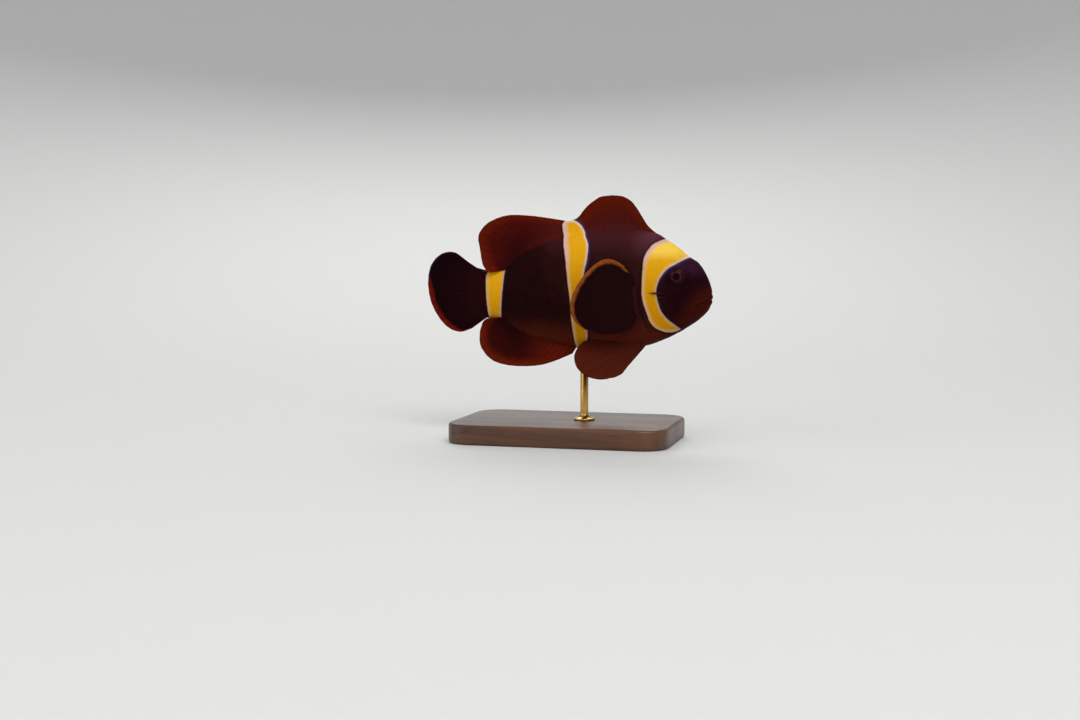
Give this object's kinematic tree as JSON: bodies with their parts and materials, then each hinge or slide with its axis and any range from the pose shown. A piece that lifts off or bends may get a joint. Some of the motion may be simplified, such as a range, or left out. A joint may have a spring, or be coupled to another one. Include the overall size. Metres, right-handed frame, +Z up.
{
  "type": "maroon clownfish",
  "caption": "Life-size model of a maroon clownfish with gold bands, swimming, held up by a brass rod on a flat wooden base.",
  "frame": {"origin": "centre of the underside of the stand's base", "axes": "+X towards the fish's snout, +Z up, +Y towards the fish's left side"},
  "size_m": [0.0902, 0.042, 0.0729],
  "materials": {
    "maroon_skin": "satin",
    "dark_fin": "satin",
    "rust_fin": "satin",
    "russet_fin": "satin",
    "cheek_spine": "satin",
    "eye": "wet gloss",
    "walnut": "satin",
    "brass": "satin"
  },
  "bodies": {
    "root": {"head": "maroon_skin", "gill_cover_right": "maroon_skin", "gill_cover_left": "maroon_skin", "trunk": "maroon_skin", "tail_stalk": "maroon_skin", "dorsal_fin_spiny": "rust_fin", "dorsal_fin_soft": "rust_fin", "anal_fin": "rust_fin", "tail_fin": "dark_fin", "pectoral_fin_right": "dark_fin", "pectoral_fin_left": "dark_fin", "pelvic_fin_right": "russet_fin", "pelvic_fin_left": "russet_fin", "eye_right": "eye", "eye_left": "eye", "cheek_spine_right": "cheek_spine", "cheek_spine_left": "cheek_spine", "stand_base": "walnut", "stand_rod": "brass"}
  },
  "joints": []
}
